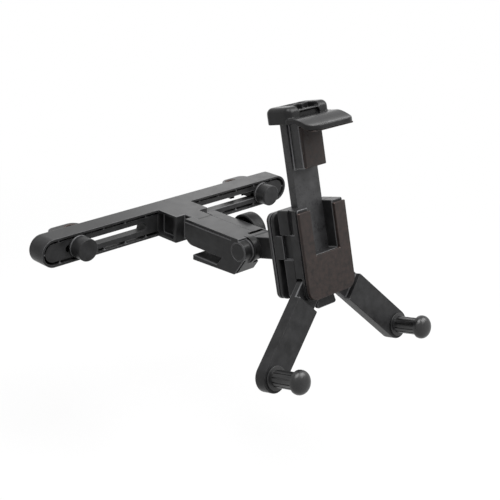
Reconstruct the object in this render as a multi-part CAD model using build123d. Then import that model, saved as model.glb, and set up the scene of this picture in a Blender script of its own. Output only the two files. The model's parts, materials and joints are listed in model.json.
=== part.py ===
from build123d import *
import math
import os

# Headrest tablet mount. X runs along the crossbar, +Y points to the headrest, +Z is up.
# The origin lies half way between the bar's ends, level with its middle, in the plane of the
# two headrest posts.

# Headrest posts and the clamps that grip them
post_radius = 6.0
post_play = 0.15
left_clamp_x = -99.4
right_clamp_x = 104.7
post_offset = 12.0
jaw_height = 13.0
jaw_depth = 16.0
jaw_outboard = 9.5
jaw_lip = 2.0
jaw_guide = 3.0
jaw_heel = 5.0
liner_thick = 1.5
liner_arc = 160.0
clamp_knob_radius = 9.3
clamp_knob_reach = 12.0
collar_flange = 2.0
collar_radius = 9.45
collar_length = 12.0
clamp_travel = 4.0

# Crossbar
bar_length = 270.0
bar_height = 23.2
bar_depth = 18.7
bar_rim = 1.8
bar_groove = 2.2
bar_floor = 2.2
bar_back_round = 2.0
track_recess = 1.2
rib_thick = 1.2
rib_first = 30.0
rib_pitch = 21.9
rib_drop = 1.5
slot_height = 6.8
slot_inner = 30.0
slot_outer = 112.0
web_thick = 8.2
pocket_height = 17.6
pocket_inner = 26.0
pocket_outer = 117.5
pocket_corner = 3.0
neck_width = 35.2
neck_reach = 22.0
neck_wall = 2.2
neck_edge = 3.0
neck_pocket = 6.0

# Arm between the neck and the holder
hinge_setback = 14.0
arm_span = 57.0
arm_height = 21.0
arm_rise = 1.1
arm_left = -15.0
arm_seam = 7.0
arm_right = 18.0
arm_heel = 6.0
tongue_width = 16.0
trunnion_radius = 5.0
trunnion_length = 4.0
arm_tilt_down = 50.0
arm_tilt_up = 20.0
cheek_radius = 8.5
ring_radius = 11.0
ring_width = 2.0
band_width = 5.0
lip_groove = 2.0
lip_groove_deep = 1.0
hook_gap = 7.4
hook_thick = 4.8
hook_rear = 4.0
hook_root = 33.0
hook_slant = 6.0
hook_front = 4.0
hook_rise = 2.0
hook_skin = 1.5
hook_groove = 2.2
hook_groove_deep = 4.0
arm_knob_radius = 15.0
arm_knob_depth = 11.5
arm_knob_wall = 2.0
arm_knob_gap = 1.5

# Tilt knuckle and swivel
knuckle_left = 1.0
knuckle_width = 15.0
axle_radius = 7.6
boss_radius = 5.0
boss_length = 1.2
holder_lean = 13.93
holder_tilt_range = 40.0
stem_height = 18.0
stem_length = 39.3
flange_radius = 14.0
flange_thick = 3.0
spigot_radius = 9.0
swivel_washer_radius = 12.5
swivel_washer_thick = 1.4
swivel_screw_depth = 14.0

# Holder body, measured upwards from the bottom of the U-shaped cut in its pad
swivel_height = 1.7
body_width = 52.0
body_bottom = -33.5
body_top = 36.7
body_corner = 6.0
body_top_corner = 1.5
plate_top = 33.5
plate_thick = 3.6
plate_gap = 1.6
plate_inset = 4.0
clip_thick = 2.8
clip_gap = 5.6
clip_block_width = 36.0
clip_block_height = 54.0
tab_bottom = -1.0
tab_top = 17.0
tab_thick = 2.4
tab_reach = 7.0
rear_housing_depth = 10.2
front_housing_depth = 9.6
front_wall = 3.5
pad_thick = 2.6
pad_groove = 1.2
seam_groove = 0.5
scoop_deep = 2.4
scoop_long = 6.0
pad_inset = 0.4
pad_corner = 8.0
pad_top = 34.6
cut_width = 26.4
chin_width = 21.6
chin_bottom = -43.0
chin_depth = 3.2
chin_corner = 2.5
spring_width = 13.4
spring_length = 19.4
spring_strip = 0.5

# Slider and top jaw
rail_width = 27.7
rail_thick = 7.1
rail_bottom = -28.0
rail_top = 106.0
block_width = 22.6
block_bottom = 65.0
jaw_bottom = 100.0
jaw_top = 112.5
jaw_width = 44.6
jaw_back = 25.0
jaw_dome_front = 4.0
lip_width = 48.0
lip_reach = 24.5
lip_top = 98.5
lip_bottom = 95.0
jaw_corner = 10.0
jaw_back_corner = 5.0
jaw_round = 4.6
jaw_skin = 2.0
jaw_rib = 1.4
jaw_core_width = 22.0
jaw_shelf = 4.2
jaw_notch = 3.4
jaw_scoop = 2.6
lip_pad_thick = 1.3

# Legs and pegs
leg_pivot_out = 19.0
leg_pivot_down = 27.0
leg_width = 23.0
left_leg_angle = 45.5
right_leg_angle = 45.0
leg_swing_in = 15.0
leg_swing_out = 90.0
leg_root = 10.2
leg_length = 72.0
leg_tongue = 5.6
leg_thick = 10.0
leg_pin_radius = 3.0
peg_collar_radius = 9.4
peg_collar_thick = 1.6
peg_radius = 6.7
peg_length = 20.9
peg_head_radius = 9.25
peg_head_length = 7.8
peg_grips = 12

# Metric hardware and clearances
screw_radius = 2.5
nut_flats = 8.0
nut_thick = 4.0
small_screw_radius = 1.4
small_head_radius = 2.6
small_head_thick = 1.6
shaft_play = 0.07
slide_play = 0.15
face_play = 0.1
swing_play = 0.3
edge_round = 1.0

# Places that follow from the sizes
bar_back = -(post_radius + post_play)
bar_front = bar_back - bar_depth
track_face = bar_front + track_recess
web_rear = track_face + web_thick
neck_front = bar_front - neck_reach
rear_axis = neck_front - hinge_setback
front_axis = rear_axis - arm_span
knob_axis = (rear_axis + front_axis) / 2
hinge_radius = arm_height / 2
arm_bottom = arm_rise - hinge_radius
arm_top = arm_rise + hinge_radius
knuckle_centre = knuckle_left + knuckle_width / 2
plate_front = stem_length + plate_thick
clip_rear = plate_front + plate_gap
clip_front = clip_rear + clip_thick
housing_rear = clip_front + clip_gap
seam = housing_rear + rear_housing_depth
housing_front = seam + front_housing_depth
pad_front = housing_front + pad_thick
rail_front = seam - face_play
rail_rear = rail_front - rail_thick
leg_rear = seam + face_play
lean = math.radians(holder_lean)
holder_normal = (0, -math.cos(lean), math.sin(lean))
holder_up = (0, math.sin(lean), math.cos(lean))
holder_plane = Plane(
    origin=(
        knuckle_centre,
        front_axis - swivel_height * holder_up[1],
        arm_rise - swivel_height * holder_up[2],
    ),
    x_dir=(1, 0, 0),
    z_dir=holder_normal,
)


def prism_y(profile, near, far):
    """Solid of a profile drawn in X and Z, between two depths."""
    plane = Plane(origin=(0, far, 0), x_dir=(1, 0, 0), z_dir=(0, -1, 0))
    return extrude(plane * profile, amount=far - near)


def prism_x(profile, left, right):
    """Solid of a profile drawn in Y and Z, between two places along the bar."""
    return extrude(Plane.YZ.offset(left) * profile, amount=right - left)


def slab(profile, rear, front):
    """Solid of a profile drawn on the holder's face, between two depths of the holder."""
    return extrude(Plane.XY.offset(rear) * profile, amount=front - rear)


def rod_x(radius, y, z, left, right):
    return prism_x(Pos(y, z) * Circle(radius), left, right)


def rod_y(radius, x, z, near, far):
    return prism_y(Pos(x, z) * Circle(radius), near, far)


def hexagon(flats):
    return RegularPolygon(flats / math.sqrt(3), 6)


def span(low, high, bottom, top):
    """Rectangle between two corners."""
    return Pos((low + high) / 2, (bottom + top) / 2) * Rectangle(high - low, top - bottom)


def rounded_span(low, high, bottom, top, radius):
    """Rectangle between two corners, rounded at all four."""
    return Pos((low + high) / 2, (bottom + top) / 2) * RectangleRounded(high - low, top - bottom, radius)


def save(name, shape):
    export_step(shape, f"parts/{name}.step")


def save_holder(name, shape):
    """Write a piece that was drawn in the holder's own frame."""
    save(name, holder_plane.location * shape)


# Crossbar


def bar_outline(inset):
    return SlotOverall(bar_length - 2 * inset, bar_height - 2 * inset)


def make_neck():
    """Block in front of the bar with a hollow in each side."""
    half = neck_width / 2
    block = prism_y(Rectangle(neck_width, bar_height), neck_front, bar_back - bar_floor)
    block = fillet(block.edges().filter_by(Axis.Z).group_by(Axis.Y)[0], edge_round)
    hollow_height = bar_height - 2 * neck_wall
    hollow = rounded_span(
        neck_front + neck_edge, bar_front, -hollow_height / 2, hollow_height / 2, neck_wall
    )
    block -= prism_x(hollow, half - neck_pocket, half)
    block -= prism_x(hollow, -half, neck_pocket - half)
    return block


def make_tongue():
    """Round-nosed tongue of the neck, with a trunnion on each side for the arm."""
    profile = Pos(rear_axis, arm_rise) * Circle(hinge_radius)
    profile += span(rear_axis, neck_front + edge_round, arm_bottom, arm_top)
    half = tongue_width / 2
    tongue = prism_x(profile, -half, half)
    reach = half + trunnion_length
    return tongue + rod_x(trunnion_radius, rear_axis, arm_rise, -reach, reach)


def make_crossbar():
    bar = prism_y(bar_outline(0), bar_front, bar_back)
    bar = fillet(bar.edges().group_by(Axis.Y)[-1], bar_back_round)
    track = bar_outline(bar_rim + bar_groove)
    groove = bar_outline(bar_rim) - track
    count = int(((bar_length - bar_height) / 2 - rib_first) / rib_pitch) + 1
    ribs = Rectangle(bar_length, rib_thick)
    for i in range(count):
        place = rib_first + i * rib_pitch
        ribs += Pos(place, 0) * Rectangle(rib_thick, bar_height)
        ribs += Pos(-place, 0) * Rectangle(rib_thick, bar_height)
    bar -= prism_y(groove, bar_front, bar_front + rib_drop)
    bar -= prism_y(groove - ribs, bar_front, bar_back - bar_floor)
    bar -= prism_y(track, bar_front, track_face)
    bar += make_neck() + make_tongue()
    slot = SlotOverall(slot_outer - slot_inner, slot_height)
    pocket = RectangleRounded(pocket_outer - pocket_inner, pocket_height, pocket_corner)
    for side in (-1, 1):
        bar -= prism_y(Pos(side * (slot_inner + slot_outer) / 2, 0) * slot, bar_front, bar_back)
        bar -= prism_y(Pos(side * (pocket_inner + pocket_outer) / 2, 0) * pocket, web_rear, bar_back)
    save("crossbar", bar)


# Post clamps


def clamp_jaw_solid(x, inward):
    """Jaw behind the bar: heel by the screw, groove for the post on the inward side."""
    post_x = x + inward * post_offset
    heel = x - inward * jaw_outboard
    grip = post_radius + liner_thick
    tip = post_x + inward * (grip + jaw_lip)
    rear = bar_back + jaw_depth
    front = bar_back + face_play
    plan = rounded_span(min(heel, tip), max(heel, tip), front - jaw_depth, rear, jaw_outboard - edge_round)
    plan &= span(min(heel, tip), max(heel, tip), front, rear)
    body = extrude(Plane.XY.offset(-jaw_height / 2) * plan, amount=jaw_height)
    body -= Pos(post_x, 0) * Cylinder(grip + face_play / 2, bar_height)
    block = span(min(heel, x + inward * jaw_heel), max(heel, x + inward * jaw_heel), -jaw_height / 2, jaw_height / 2)
    body += prism_y(block, web_rear + face_play, front + edge_round)
    guide = SlotOverall(collar_length, slot_height - 2 * slide_play)
    body += prism_y(Pos(x, 0) * guide, web_rear - jaw_guide, web_rear + edge_round)
    body -= rod_y(screw_radius + shaft_play, x, 0, bar_front, rear)
    pocket = hexagon(nut_flats + 2 * shaft_play)
    return body - prism_y(Pos(x, 0) * pocket, rear - edge_round - nut_thick, rear)


def clamp_liner_solid(post_x):
    """Rubber sleeve of part of a circle, lying in the jaw's groove."""
    outer = post_radius + liner_thick
    ring = Circle(outer) - Circle(post_radius)
    half = math.radians(liner_arc / 2)
    reach = 2 * outer
    wedge = Polygon(
        (0, 0),
        (reach * math.sin(half), reach * math.cos(half)),
        (0, 2 * reach),
        (-reach * math.sin(half), reach * math.cos(half)),
        align=None,
    )
    return Pos(post_x, 0, -jaw_height / 2) * extrude(ring & wedge, amount=jaw_height)


def clamp_collar_solid(x):
    """Flanged guide under the knob: the flange rides on the track, the tongue in the slot."""
    flange_rear = track_face - face_play
    collar = rod_y(collar_radius, x, 0, flange_rear - collar_flange, flange_rear)
    guide = SlotOverall(collar_length, slot_height - 2 * slide_play)
    tongue_end = web_rear - jaw_guide - edge_round
    collar += prism_y(Pos(x, 0) * guide, flange_rear, tongue_end)
    return collar - rod_y(screw_radius + shaft_play, x, 0, bar_front - clamp_knob_reach, tongue_end)


def clamp_knob_solid(x):
    """Round thumb knob with a softened face and a hexagon socket for the screw's head."""
    rear = track_face - collar_flange - 2 * face_play
    face = bar_front - clamp_knob_reach
    knob = rod_y(clamp_knob_radius, x, 0, face, rear)
    knob = fillet(knob.edges().group_by(Axis.Y)[0], edge_round)
    head_rear = rear - edge_round
    knob -= prism_y(Pos(x, 0) * hexagon(nut_flats + 2 * shaft_play), head_rear - nut_thick, rear)
    return knob


def clamp_screw_solid(x):
    """Hexagon-headed screw from the knob through the bar to the nut in the jaw."""
    head_rear = track_face - collar_flange - 2 * face_play - edge_round
    screw = prism_y(Pos(x, 0) * hexagon(nut_flats), head_rear - nut_thick, head_rear)
    tip = bar_back + jaw_depth - edge_round + clamp_travel
    shank = rod_y(screw_radius, x, 0, head_rear, tip)
    shank = chamfer(shank.edges().group_by(Axis.Y)[-1], edge_round / 2)
    return screw + shank


def clamp_nut_solid(x):
    far = bar_back + jaw_depth - edge_round
    nut = prism_y(Pos(x, 0) * hexagon(nut_flats), far - nut_thick, far)
    return nut - rod_y(screw_radius + shaft_play, x, 0, far - nut_thick, far)


def make_clamp(side, x, inward):
    save(f"{side}_clamp_jaw", clamp_jaw_solid(x, inward))
    save(f"{side}_clamp_liner", clamp_liner_solid(x + inward * post_offset))
    save(f"{side}_clamp_collar", clamp_collar_solid(x))
    save(f"{side}_clamp_knob", clamp_knob_solid(x))
    save(f"{side}_clamp_screw", clamp_screw_solid(x))
    save(f"{side}_clamp_nut", clamp_nut_solid(x))


# Arm


def arm_side(front_radius):
    """Side view of the arm: square heel at the neck, round nose about the front hinge."""
    heel = rear_axis + arm_heel
    profile = span(front_axis, heel, arm_bottom, arm_top)
    corners = profile.vertices().group_by(Axis.X)[-1].sort_by(Axis.Y)
    profile = fillet(corners[0], hinge_radius - edge_round)
    profile = fillet(profile.vertices().group_by(Axis.X)[-1].sort_by(Axis.Y)[-1], edge_round)
    nose = Pos(front_axis, arm_rise) * Circle(front_radius)
    overhang = span(front_axis - hinge_radius, front_axis + front_radius, arm_bottom, arm_top)
    return profile - overhang + nose + span(front_axis, front_axis + front_radius, arm_bottom, arm_top)


def hook_side():
    """Side view of the hook under the arm, open to the rear."""
    top = arm_bottom - hook_gap
    bottom = top - hook_thick
    root = rear_axis - hook_root
    rear = rear_axis - hook_rear
    nose = cheek_radius * math.sqrt(0.5)
    return Polygon(
        (rear, top),
        (root, top),
        (root - hook_slant, arm_bottom),
        (root - hook_slant, arm_rise),
        (front_axis, arm_rise),
        (front_axis - nose, arm_rise - nose),
        (front_axis + hook_front, bottom + hook_rise),
        (rear, bottom),
        align=None,
    )


def hook_hollow():
    """Side view of the narrow hollow behind the hook's slanted front."""
    bottom = arm_bottom - hook_gap - hook_thick + hook_rise
    nose = cheek_radius * math.sqrt(0.5)
    upper = (front_axis - nose, arm_rise - nose)
    lower = (front_axis + hook_front, bottom)
    shift = hook_groove_deep
    return Polygon(upper, lower, (lower[0] + shift, lower[1] + shift), (upper[0] + shift, upper[1] + shift), align=None)


def swing_room(axis, left, right, ahead, angles):
    """Room for a round-nosed tongue on one hinge, with its tail at the ends of its swing."""
    radius = hinge_radius + swing_play
    room = rod_x(radius, axis, arm_rise, left, right)
    reach = 2 * hinge_setback
    tail = span(0, reach, -radius, radius) if ahead > 0 else span(-reach, 0, -radius, radius)
    for angle in angles:
        room += prism_x(Pos(axis, arm_rise) * Rot(0, 0, angle) * tail, left, right)
    return room


def arm_rooms():
    """All that both halves leave free: tongue, knuckle, bolt and the hinge sockets."""
    half = tongue_width / 2 + swing_play
    rooms = swing_room(rear_axis, -half, half, 1, (-arm_tilt_down, 0, arm_tilt_up))
    trunnion = tongue_width / 2 + trunnion_length + swing_play
    rooms += rod_x(trunnion_radius + shaft_play, rear_axis, arm_rise, -trunnion, trunnion)
    right = knuckle_left + knuckle_width + swing_play
    swings = (-holder_lean - holder_tilt_range, -holder_lean, holder_tilt_range - holder_lean)
    rooms += swing_room(front_axis, knuckle_left - swing_play, right, -1, swings)
    rooms += rod_x(axle_radius + shaft_play, front_axis, arm_rise, arm_left, knuckle_left)
    rooms += rod_x(boss_radius + shaft_play, front_axis, arm_rise, right - swing_play, right + boss_length)
    rooms += rod_x(screw_radius + shaft_play, knob_axis, arm_rise, bolt_head_left(), arm_right)
    head = Pos(knob_axis, arm_rise) * hexagon(nut_flats + 2 * shaft_play)
    return rooms + prism_x(head, bolt_head_left() - shaft_play, bolt_head_left() + nut_thick + shaft_play)


def bolt_head_left():
    """The bolt's head is moulded in, a hinge tongue's half width left of the middle."""
    return -tongue_width / 2


def make_arm_left():
    half = prism_x(arm_side(cheek_radius) + hook_side(), arm_left, arm_seam - slide_play)
    nose = Pos(front_axis, arm_rise)
    band_left = knuckle_left - swing_play - band_width
    band = nose * Circle(hinge_radius)
    half += prism_x(band, band_left, knuckle_left - swing_play)
    half += prism_x(nose * Circle(ring_radius), band_left - ring_width, band_left)
    groove_top = arm_top - edge_round
    groove = span(front_axis + cheek_radius, rear_axis + arm_heel, groove_top - lip_groove, groove_top)
    half -= prism_x(groove, arm_left, arm_left + lip_groove_deep)
    half -= prism_x(hook_hollow(), arm_left + hook_skin, arm_left + hook_skin + hook_groove)
    save("arm_left_half", half - arm_rooms())


def make_arm_right():
    half = prism_x(arm_side(hinge_radius), arm_seam + slide_play, arm_right)
    save("arm_right_half", half - arm_rooms())


def make_arm_bolt():
    head_left = bolt_head_left()
    place = Pos(knob_axis, arm_rise)
    bolt = prism_x(place * hexagon(nut_flats), head_left, head_left + nut_thick)
    tip = arm_right + arm_knob_gap + arm_knob_depth - 2 * arm_knob_wall
    save("arm_bolt", bolt + prism_x(place * Circle(screw_radius), head_left + nut_thick, tip))


def make_arm_knob():
    """Cup-shaped knob, open towards the arm, with a hub that holds the nut."""
    rim = arm_right + arm_knob_gap
    face = rim + arm_knob_depth
    floor = face - arm_knob_wall
    hub_start = arm_right + face_play
    hub_radius = nut_flats / 2 + arm_knob_wall
    knob = rod_x(arm_knob_radius, knob_axis, arm_rise, rim, face)
    knob = fillet(knob.edges().group_by(Axis.X)[-1], edge_round)
    knob -= rod_x(arm_knob_radius - arm_knob_wall, knob_axis, arm_rise, rim, floor)
    knob += rod_x(hub_radius, knob_axis, arm_rise, hub_start, face - edge_round)
    knob -= rod_x(screw_radius + shaft_play, knob_axis, arm_rise, hub_start, floor)
    pocket = Pos(knob_axis, arm_rise) * hexagon(nut_flats + 2 * shaft_play)
    knob -= prism_x(pocket, hub_start, hub_start + nut_thick)
    save("arm_knob", knob)
    nut = prism_x(Pos(knob_axis, arm_rise) * hexagon(nut_flats), hub_start, hub_start + nut_thick)
    bore = rod_x(screw_radius + shaft_play, knob_axis, arm_rise, hub_start, hub_start + nut_thick)
    save("arm_nut", nut - bore)


# Tilt knuckle and swivel


def rod_holder(radius, across, up, rear, front):
    return slab(Pos(across, up) * Circle(radius), rear, front)


def make_knuckle():
    """Barrel between the arm's cheeks, with an axle, a square stem and a round flange."""
    half = knuckle_width / 2
    axle_left = arm_left - knuckle_centre
    turn = Pos(0, swivel_height, 0) * Rot(0, 90, 0)
    knuckle = turn * Cylinder(hinge_radius, knuckle_width)
    axle_length = -half - axle_left
    knuckle += Pos(axle_left + axle_length / 2, 0, 0) * turn * Cylinder(axle_radius, axle_length)
    knuckle += Pos(half + boss_length / 2, 0, 0) * turn * Cylinder(boss_radius, boss_length)
    flange_front = stem_length - face_play
    flange_rear = flange_front - flange_thick
    stem = span(-half, half, swivel_height - stem_height / 2, swivel_height + stem_height / 2)
    knuckle += slab(stem, 0, flange_rear)
    flange = rod_holder(flange_radius, 0, swivel_height, flange_rear, flange_front)
    knuckle += chamfer(flange.edges().group_by(Axis.Z)[0], flange_thick / 2)
    knuckle += rod_holder(spigot_radius, 0, swivel_height, flange_front, plate_front)
    knuckle -= rod_holder(screw_radius, 0, swivel_height, plate_front - swivel_screw_depth, plate_front)
    save_holder("tilt_knuckle", knuckle)


def make_swivel_hardware():
    """Washer and screw that keep the holder on the knuckle's spigot."""
    washer_rear = plate_front + face_play
    washer_front = washer_rear + swivel_washer_thick
    washer = rod_holder(swivel_washer_radius, 0, swivel_height, washer_rear, washer_front)
    washer -= rod_holder(screw_radius + shaft_play, 0, swivel_height, washer_rear, washer_front)
    save_holder("swivel_washer", washer)
    head_radius = nut_flats / 2
    screw = rod_holder(head_radius, 0, swivel_height, washer_front, washer_front + nut_thick / 2)
    end = plate_front - swivel_screw_depth + edge_round
    screw += rod_holder(screw_radius - shaft_play, 0, swivel_height, end, washer_front)
    save_holder("swivel_screw", screw)


# Holder body


def plate_outline():
    half = body_width / 2
    return rounded_span(-half, half, body_bottom, plate_top, body_corner)


def body_outline(inset):
    """Housing seen from the front: round corners below, nearly square ones on top."""
    half = body_width / 2 - inset
    bottom = body_bottom + inset
    outline = rounded_span(-half, half, bottom, body_top + body_corner, body_corner)
    outline &= span(-half, half, bottom, body_top)
    return fillet(outline.vertices().group_by(Axis.Y)[-1], body_top_corner)


def plate_screw_places():
    across = clip_block_width / 2 - small_head_radius - edge_round
    up = clip_block_height / 2 - small_head_radius - edge_round
    return [(x, y) for x in (-across, across) for y in (-up, up)]


def housing_screw_places():
    across = body_width / 2 - tab_thick - small_head_radius - edge_round
    low = tab_bottom - small_head_radius - edge_round
    high = tab_top + small_head_radius + 2 * edge_round
    return [(x, y) for x in (-across, across) for y in (low, high)]


def screw_solid(place, head, tip):
    """Small pan-head screw whose head faces the rear."""
    across, up = place
    screw = rod_holder(small_head_radius, across, up, head, head + small_head_thick)
    return screw + rod_holder(small_screw_radius, across, up, head + small_head_thick, tip)


def screw_room(place, head, tip):
    """Counterbore and hole for a small screw."""
    across, up = place
    room = rod_holder(small_head_radius + slide_play, across, up, head, head + small_head_thick)
    return room + rod_holder(small_screw_radius + shaft_play, across, up, head, tip)


def make_rear_plate():
    plate = slab(plate_outline(), stem_length, plate_front)
    plate = chamfer(plate.edges().group_by(Axis.Z)[0], edge_round)
    half = body_width / 2 - plate_inset
    spacer = rounded_span(-half, half, body_bottom + plate_inset, plate_top - plate_inset, body_corner / 2)
    plate += slab(spacer, plate_front, clip_rear)
    plate -= rod_holder(spigot_radius + shaft_play, 0, swivel_height, stem_length, plate_front)
    washer_room = swivel_washer_radius + swing_play
    plate -= rod_holder(washer_room, 0, swivel_height, plate_front, clip_rear)
    for place in plate_screw_places():
        plate -= screw_room(place, stem_length, clip_rear)
    save_holder("rear_plate", plate)


def make_clip_plate():
    """Front half of the back plate, with a raised block and a snap tab on each side."""
    plate = slab(plate_outline(), clip_rear, clip_front)
    plate = fillet(plate.edges().group_by(Axis.Z)[-1], edge_round)
    half_block = clip_block_width / 2
    half_height = clip_block_height / 2
    block = rounded_span(-half_block, half_block, -half_height, half_height, body_corner / 2)
    plate += slab(block, clip_rear, housing_rear)
    half = body_width / 2
    for side in (-1, 1):
        edges = sorted((side * (half - tab_thick), side * half))
        plate += slab(span(*edges, tab_bottom, tab_top), clip_rear, clip_front + tab_reach)
    head_room = nut_flats / 2 + swing_play
    plate -= rod_holder(head_room, 0, swivel_height, clip_rear, clip_front + nut_thick)
    for place in plate_screw_places():
        plate -= screw_room(place, stem_length, housing_rear - edge_round)
    save_holder("clip_plate", plate)


def make_rear_housing():
    """Back shell of the holder, with the rail's channel and a window for each snap tab."""
    housing = slab(body_outline(0), housing_rear, seam)
    housing = chamfer(housing.edges().group_by(Axis.Z)[-1], seam_groove)
    half_rail = rail_width / 2 + slide_play
    housing -= slab(span(-half_rail, half_rail, body_bottom, body_top), rail_rear - slide_play, seam)
    half = body_width / 2
    tab_inside = half - tab_thick - slide_play
    for side in (-1, 1):
        edges = sorted((side * tab_inside, side * half))
        window = span(*edges, tab_bottom - slide_play, tab_top + edge_round)
        housing -= slab(window, housing_rear, seam)
    for place in housing_screw_places():
        housing -= screw_room(place, housing_rear, seam)
    for side in (-1, 1):
        pin = Pos(side * leg_pivot_out, -leg_pivot_down) * Circle(leg_pin_radius + shaft_play)
        housing -= slab(pin, seam - leg_tongue, seam)
    housing -= slab(spring_span(slide_play), rail_rear - slide_play - spring_drop(), seam)
    save_holder("rear_housing", housing)


def spring_span(play):
    """Outline of the pocket for the slider's brake spring, seen from the front."""
    half = spring_width / 2 + play
    return span(-half, half, -play, spring_length + play)


def spring_drop():
    """Depth of the brake spring's pocket behind the rail."""
    return edge_round + slide_play


def make_brake_spring():
    """Bowed steel strip that presses on the back of the rail and keeps the slider in place."""
    ends = rail_rear - slide_play - spring_drop()
    crown = rail_rear - face_play
    strip = spring_strip
    length = spring_length
    arc = ThreePointArc((0, ends), (length / 2, crown - strip), (length, ends))
    top = ThreePointArc((length, ends + strip), (length / 2, crown), (0, ends + strip))
    face = make_face(Curve() + [arc, Line(arc @ 1, top @ 0), top, Line(top @ 1, arc @ 0)])
    strip_plane = Plane(origin=(-spring_width / 2, 0, 0), x_dir=(0, 1, 0), z_dir=(1, 0, 0))
    save_holder("brake_spring", extrude(strip_plane * face, amount=spring_width))


def leg_room(side):
    """Room in the front shell for a leg's tongue, between the ends of its swing."""
    reach = leg_width / 2 + swing_play
    far = 2 * leg_width
    room = Circle(reach)
    ends = [math.radians(angle) for angle in (leg_swing_in, leg_swing_out)]
    for angle in ends:
        room += Rot(0, 0, math.degrees(angle) - 180) * span(-reach, reach, 0, far)
    inner, outer = [(far * math.sin(angle), -far * math.cos(angle)) for angle in ends]
    room += Polygon((0, 0), inner, (inner[0] + outer[0], inner[1] + outer[1]), outer, align=None)
    room = Pos(leg_pivot_out, -leg_pivot_down) * room
    return room if side > 0 else mirror(room, Plane.YZ)


def finger_scoop(side):
    """Ramp in the side of the front shell that lets a fingernail reach the snap tab."""
    half = side * body_width / 2
    proud = half + side * edge_round
    deep = half - side * scoop_deep
    ramp = Polygon(
        (deep, seam), (proud, seam), (proud, seam + scoop_long), (half, seam + scoop_long), align=None
    )
    upright = Plane(origin=(0, tab_top + edge_round, 0), x_dir=(1, 0, 0), z_dir=(0, -1, 0))
    return extrude(upright * ramp, amount=tab_top - tab_bottom + edge_round)


def make_front_housing():
    """Front shell: U-shaped opening for the slider's block and a room for each leg."""
    housing = slab(body_outline(0), seam, housing_front - pad_groove)
    housing = chamfer(housing.edges().group_by(Axis.Z)[0], seam_groove)
    housing += slab(body_outline(pad_groove), housing_front - pad_groove, housing_front)
    half_chin = chin_width / 2
    chin = rounded_span(-half_chin, half_chin, chin_bottom, body_bottom + body_corner, chin_corner)
    housing += slab(chin, seam, seam + chin_depth)
    half_cut = cut_width / 2
    housing -= slab(span(-half_cut, half_cut, 0, body_top), seam, housing_front)
    for side in (-1, 1):
        housing -= finger_scoop(side)
        housing -= slab(leg_room(side), seam, housing_front - front_wall)
        pin = Pos(side * leg_pivot_out, -leg_pivot_down) * Circle(leg_pin_radius + shaft_play)
        housing -= slab(pin, seam, housing_front - front_wall / 2)
    for place in housing_screw_places():
        housing -= rod_holder(small_screw_radius + shaft_play, *place, seam, housing_front - front_wall)
    save_holder("front_housing", housing)


def make_face_pad():
    """U-shaped rubber pad that the tablet lies against."""
    half = body_width / 2 - pad_inset
    outline = rounded_span(-half, half, body_bottom + pad_inset, pad_top + pad_corner, pad_corner)
    outline &= span(-half, half, body_bottom, pad_top)
    half_cut = cut_width / 2
    pad = slab(outline - span(-half_cut, half_cut, 0, body_top), housing_front, pad_front)
    pad = chamfer(pad.edges().group_by(Axis.Z)[-1], edge_round / 2)
    save_holder("face_pad", pad)


def make_holder_screws():
    tip = housing_rear - edge_round
    save_holder("plate_screws", Compound([screw_solid(p, stem_length, tip) for p in plate_screw_places()]))
    tip = housing_front - front_wall
    save_holder("housing_screws", Compound([screw_solid(p, housing_rear, tip) for p in housing_screw_places()]))


# Slider


def jaw_screw_places():
    across = rail_width / 4
    return [(-across, (jaw_bottom + rail_top) / 2), (across, (jaw_bottom + rail_top) / 2)]


def jaw_rear():
    return pad_front - jaw_back


def make_slider_rail():
    half = rail_width / 2
    rail = slab(span(-half, half, rail_bottom, rail_top), rail_rear, rail_front)
    rail = chamfer(rail.edges().filter_by(Axis.Y).group_by(Axis.Z)[-1], edge_round / 2)
    half_block = block_width / 2
    rail += slab(span(-half_block, half_block, block_bottom, jaw_bottom), rail_front, housing_front)
    for place in jaw_screw_places():
        rail -= rod_holder(small_screw_radius + shaft_play, *place, rail_rear, rail_front)
    save_holder("slider_rail", rail)
    inset = edge_round / 2
    pad = span(inset - half_block, half_block - inset, block_bottom + inset, lip_bottom + edge_round)
    pad = slab(pad, housing_front, pad_front)
    save_holder("block_pad", chamfer(pad.edges().group_by(Axis.Z)[-1], inset))


def lip_section():
    """Side view of the jaw's lip, drawn in depth and height: it slopes out of the dome, then runs level."""
    dome = pad_front + jaw_dome_front
    tip = pad_front + lip_reach
    section = Polygon(
        (housing_front, jaw_bottom),
        (dome, lip_bottom),
        (tip, lip_bottom),
        (tip, lip_top),
        (dome, lip_top + edge_round),
        (pad_front, jaw_bottom + jaw_dome_front),
        (housing_front, jaw_bottom + jaw_dome_front),
        align=None,
    )
    crease = section.vertices().sort_by_distance((dome, lip_top + edge_round))[0]
    return fillet(crease, jaw_dome_front)


def jaw_plane(across):
    """Plane of the jaw's side view: depth to the right, height up."""
    return Plane(origin=(across, 0, 0), x_dir=(0, 0, 1), z_dir=(-1, 0, 0))


def jaw_dome():
    """Dome over the rail's end, softened all round its top."""
    half = jaw_width / 2
    plan = rounded_span(-half, half, jaw_rear(), pad_front, jaw_back_corner)
    dome = extrude(jaw_ceiling() * plan, amount=jaw_top - jaw_bottom)
    return fillet(dome.edges().group_by(Axis.Y)[-1], jaw_round)


def duck_bill():
    """Duck-bill lip with wide corners at its tip."""
    half = lip_width / 2
    lip = extrude(jaw_plane(half) * lip_section(), amount=lip_width)
    tip = pad_front + lip_reach
    plan = rounded_span(-half, half, housing_front - jaw_corner, tip, jaw_corner)
    return lip & extrude(jaw_ceiling() * plan, amount=jaw_top)


def jaw_ceiling():
    """Level plane at the top of the jaw: across to the right, depth up, looking down."""
    return Plane(origin=(0, jaw_top, 0), x_dir=(1, 0, 0), z_dir=(0, -1, 0))


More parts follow.
